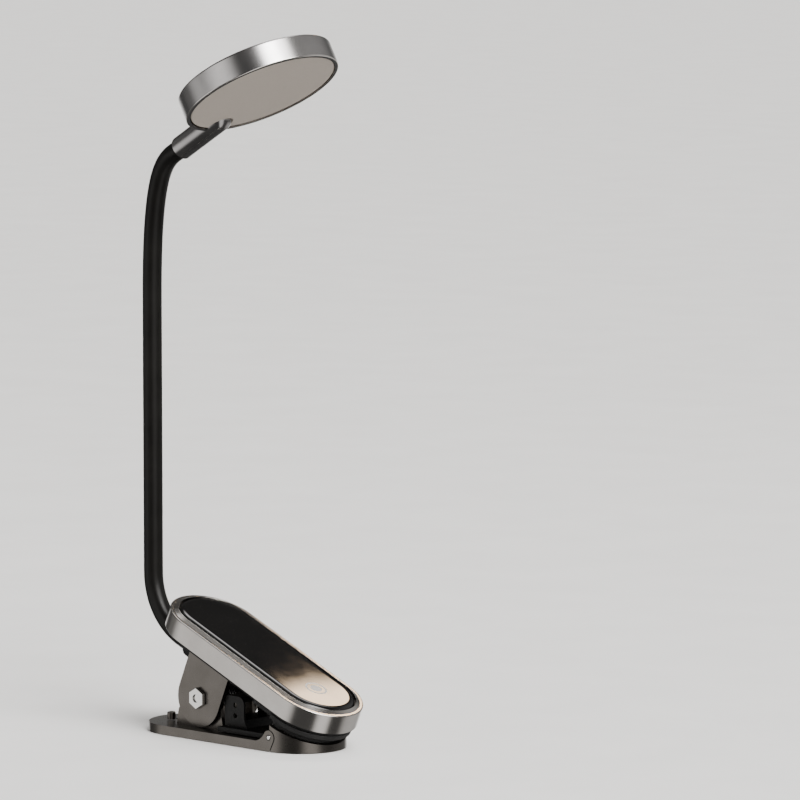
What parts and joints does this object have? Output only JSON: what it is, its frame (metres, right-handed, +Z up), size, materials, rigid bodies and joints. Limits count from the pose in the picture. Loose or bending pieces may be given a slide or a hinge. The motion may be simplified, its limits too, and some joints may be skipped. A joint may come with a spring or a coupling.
{
  "type": "clip-on reading lamp",
  "caption": "Clip-on reading lamp: flat battery housing with touch key on a spring clip, long gooseneck and round edge-lit head.",
  "frame": {"origin": "middle of the closed clip's footprint, on the surface that the lamp stands on", "axes": "+Z up, +X from the neck towards the mouth of the clip, +Y across the clip"},
  "size_m": [0.1065, 0.06, 0.2633],
  "materials": {
    "satin_metal": "satin gunmetal coating with a fine grain",
    "rim_metal": "satin anodised with thin bright edges",
    "polished_steel": "polished",
    "spring_steel": "drawn wire and plated screws",
    "black_glass": "high gloss black panel",
    "key_white": "translucent white key mark",
    "black_plastic": "matt black moulded plastic",
    "black_rubber": "matt black rubber",
    "silicone": "satin black silicone",
    "diffuser": "frosted warm white",
    "clear_acrylic": "clear acrylic",
    "circuit_board": "green solder mask",
    "white_board": "white solder mask",
    "phosphor": "yellow phosphor",
    "cell_wrap": "foil pouch cell wrap"
  },
  "bodies": {
    "foot": {"lever": "satin_metal", "main_axle": "spring_steel", "hex_cap_right": "polished_steel", "hex_cap_left": "polished_steel", "throat_block": "black_plastic", "spring_peg_right": "spring_steel", "spring_peg_left": "spring_steel", "spring_lower_half": "spring_steel", "jaw_pin_right": "polished_steel", "jaw_pin_left": "polished_steel"},
    "jaw": {"jaw_shell": "satin_metal", "jaw_pad": "black_rubber"},
    "neck_1": {"neck_sleeve_1": "silicone", "neck_core_1": "spring_steel"},
    "neck_2": {"neck_sleeve_2": "silicone", "neck_core_2": "spring_steel"},
    "neck_3": {"neck_sleeve_3": "silicone", "neck_core_3": "spring_steel"},
    "neck_4": {"neck_sleeve_4": "silicone", "neck_core_4": "spring_steel"},
    "neck_5": {"neck_sleeve_5": "silicone", "neck_core_5": "spring_steel"},
    "neck_6": {"neck_sleeve_6": "silicone", "neck_core_6": "spring_steel"},
    "head": {"neck_sleeve_7": "silicone", "neck_core_7": "spring_steel", "ferrule": "satin_metal", "head_shell": "satin_metal", "diffuser": "diffuser", "light_guide": "clear_acrylic", "led_board": "white_board", "led_1": "phosphor", "led_2": "phosphor", "led_3": "phosphor", "led_4": "phosphor", "led_5": "phosphor", "head_screw_1": "spring_steel", "head_screw_2": "spring_steel", "head_screw_3": "spring_steel"},
    "housing": {"base_rim": "rim_metal", "top_panel": "black_glass", "key_ring": "key_white", "key_dot": "key_white", "bottom_shell": "black_plastic", "upper_pad": "black_rubber", "battery_cell": "cell_wrap", "main_board": "circuit_board", "touch_pad": "black_rubber", "usb_socket": "spring_steel", "case_screw_1": "spring_steel", "case_screw_2": "spring_steel", "case_screw_3": "spring_steel", "case_screw_4": "spring_steel", "clip_bracket": "satin_metal", "neck_socket": "black_plastic", "spring_upper_half": "spring_steel", "bracket_screw_right": "spring_steel", "bracket_screw_left": "spring_steel", "neck_sleeve_0": "silicone", "neck_core_0": "spring_steel"}
  },
  "joints": [
    {"name": "clamp_hinge", "type": "hinge", "parent": "foot", "child": "housing", "pos_m": [-0.0147, 0, 0.0146], "axis": [0, -1, 0], "range_deg": [0, 25], "stiffness_Nm_per_rad": 0.35, "springref_deg": -45.84},
    {"name": "jaw_swivel", "type": "hinge", "parent": "foot", "child": "jaw", "pos_m": [0.028, 0, 0.0052], "axis": [0, -1, 0], "range_deg": [0, 25]},
    {"name": "neck_flex_1", "type": "hinge", "parent": "housing", "child": "neck_1", "pos_m": [-0.0498, 0, 0.06496], "axis": [0, 1, 0], "range_deg": [-25, 25]},
    {"name": "neck_flex_2", "type": "hinge", "parent": "neck_1", "child": "neck_2", "pos_m": [-0.0498, 0, 0.08896], "axis": [1, 0, 0], "range_deg": [-25, 25]},
    {"name": "neck_flex_3", "type": "hinge", "parent": "neck_2", "child": "neck_3", "pos_m": [-0.0498, 0, 0.11296], "axis": [0, 1, 0], "range_deg": [-25, 25]},
    {"name": "neck_flex_4", "type": "hinge", "parent": "neck_3", "child": "neck_4", "pos_m": [-0.0498, 0, 0.13696], "axis": [1, 0, 0], "range_deg": [-25, 25]},
    {"name": "neck_flex_5", "type": "hinge", "parent": "neck_4", "child": "neck_5", "pos_m": [-0.0498, 0, 0.16096], "axis": [0, 1, 0], "range_deg": [-25, 25]},
    {"name": "neck_flex_6", "type": "hinge", "parent": "neck_5", "child": "neck_6", "pos_m": [-0.04911, 0, 0.18494], "axis": [0.9974, 0, -0.0715], "range_deg": [-25, 25]},
    {"name": "neck_flex_7", "type": "hinge", "parent": "neck_6", "child": "head", "pos_m": [-0.0448, 0, 0.20846], "axis": [0, 1, 0], "range_deg": [-25, 25]}
  ],
  "couplings": [
    {"joint": "jaw_swivel", "follows": "clamp_hinge", "ratio": 1}
  ]
}
